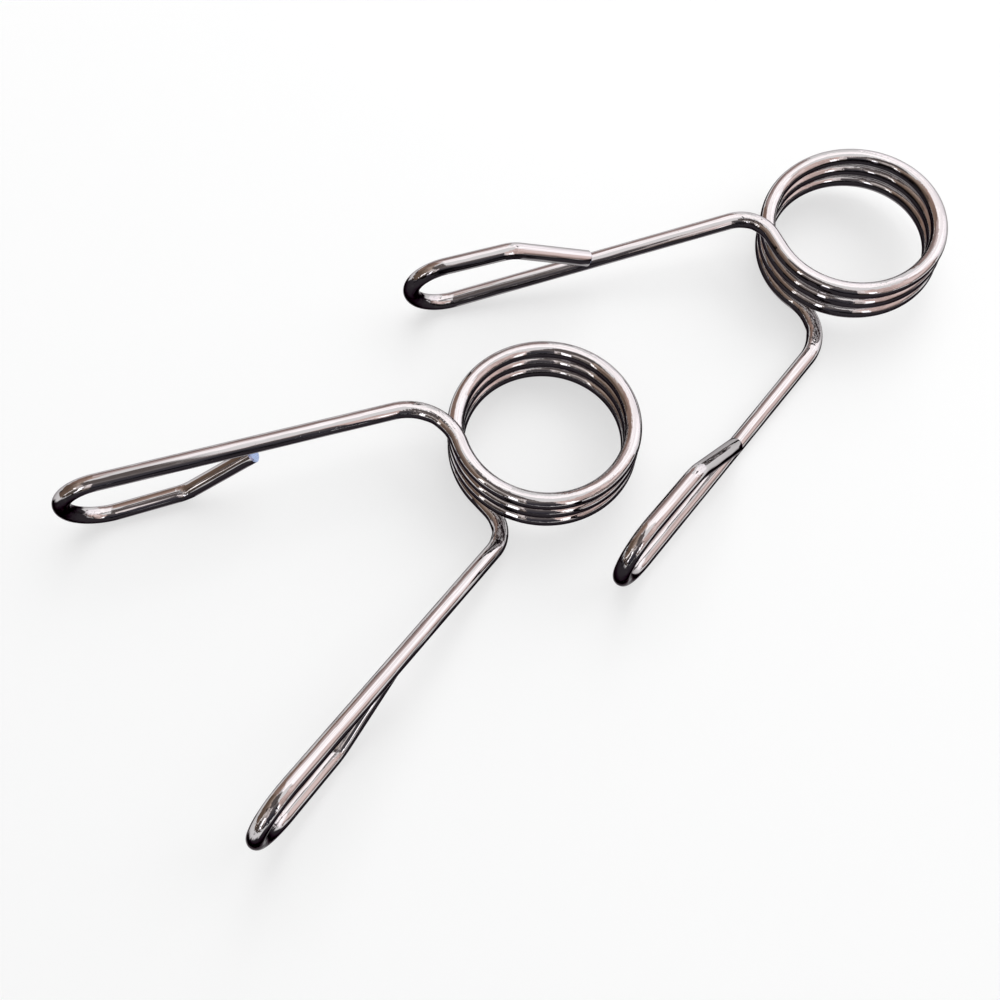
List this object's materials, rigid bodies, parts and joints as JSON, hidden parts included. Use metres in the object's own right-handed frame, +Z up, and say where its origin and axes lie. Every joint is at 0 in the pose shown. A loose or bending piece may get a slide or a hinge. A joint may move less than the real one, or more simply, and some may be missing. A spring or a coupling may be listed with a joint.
{
  "type": "barbell spring collar",
  "caption": "Chromed wire spring collars for a weight bar: a close-wound coil whose arms end in hairpin grips that squeeze together to open it.",
  "frame": {"origin": "centre of the pair's footprint, on the surface that it lies on", "axes": "+Z up from the surface, +X along the pair's longest reach, from the left clip's grips to the right clip's coil, +Y towards the back"},
  "size_m": [0.2773, 0.2268, 0.0333],
  "materials": {
    "chromed_wire": "polished"
  },
  "bodies": {
    "coils": {"left_clip_coil": "chromed_wire", "right_clip_coil": "chromed_wire"},
    "left_first_arm": {"left_clip_first_arm": "chromed_wire", "left_clip_first_grip": "chromed_wire"},
    "left_second_arm": {"left_clip_second_arm": "chromed_wire", "left_clip_second_grip": "chromed_wire"},
    "right_first_arm": {"right_clip_first_arm": "chromed_wire", "right_clip_first_grip": "chromed_wire"},
    "right_second_arm": {"right_clip_second_arm": "chromed_wire", "right_clip_second_grip": "chromed_wire"}
  },
  "joints": [
    {"name": "left_first_squeeze", "type": "hinge", "parent": "coils", "child": "left_first_arm", "pos_m": [0.00659, 0.01172, 0.01047], "axis": [0.0238, 0.0472, 0.9986], "range_deg": [0, 22], "stiffness_Nm_per_rad": 27.5, "deforming": ["left_clip_coil"]},
    {"name": "left_second_squeeze", "type": "hinge", "parent": "coils", "child": "left_second_arm", "pos_m": [0.00659, 0.01172, 0.01047], "axis": [0.0238, 0.0472, 0.9986], "range_deg": [-22, 0], "stiffness_Nm_per_rad": 27.5, "deforming": ["left_clip_coil"]},
    {"name": "right_first_squeeze", "type": "hinge", "parent": "coils", "child": "right_first_arm", "pos_m": [0.10866, 0.0837, 0.01264], "axis": [0.0703, 0.0029, -0.9975], "range_deg": [0, 7.5], "stiffness_Nm_per_rad": 27.5, "deforming": ["right_clip_coil"]},
    {"name": "right_second_squeeze", "type": "hinge", "parent": "coils", "child": "right_second_arm", "pos_m": [0.10866, 0.0837, 0.01264], "axis": [0.0703, 0.0029, -0.9975], "range_deg": [-12, 0], "stiffness_Nm_per_rad": 27.5, "deforming": ["right_clip_coil"]}
  ]
}
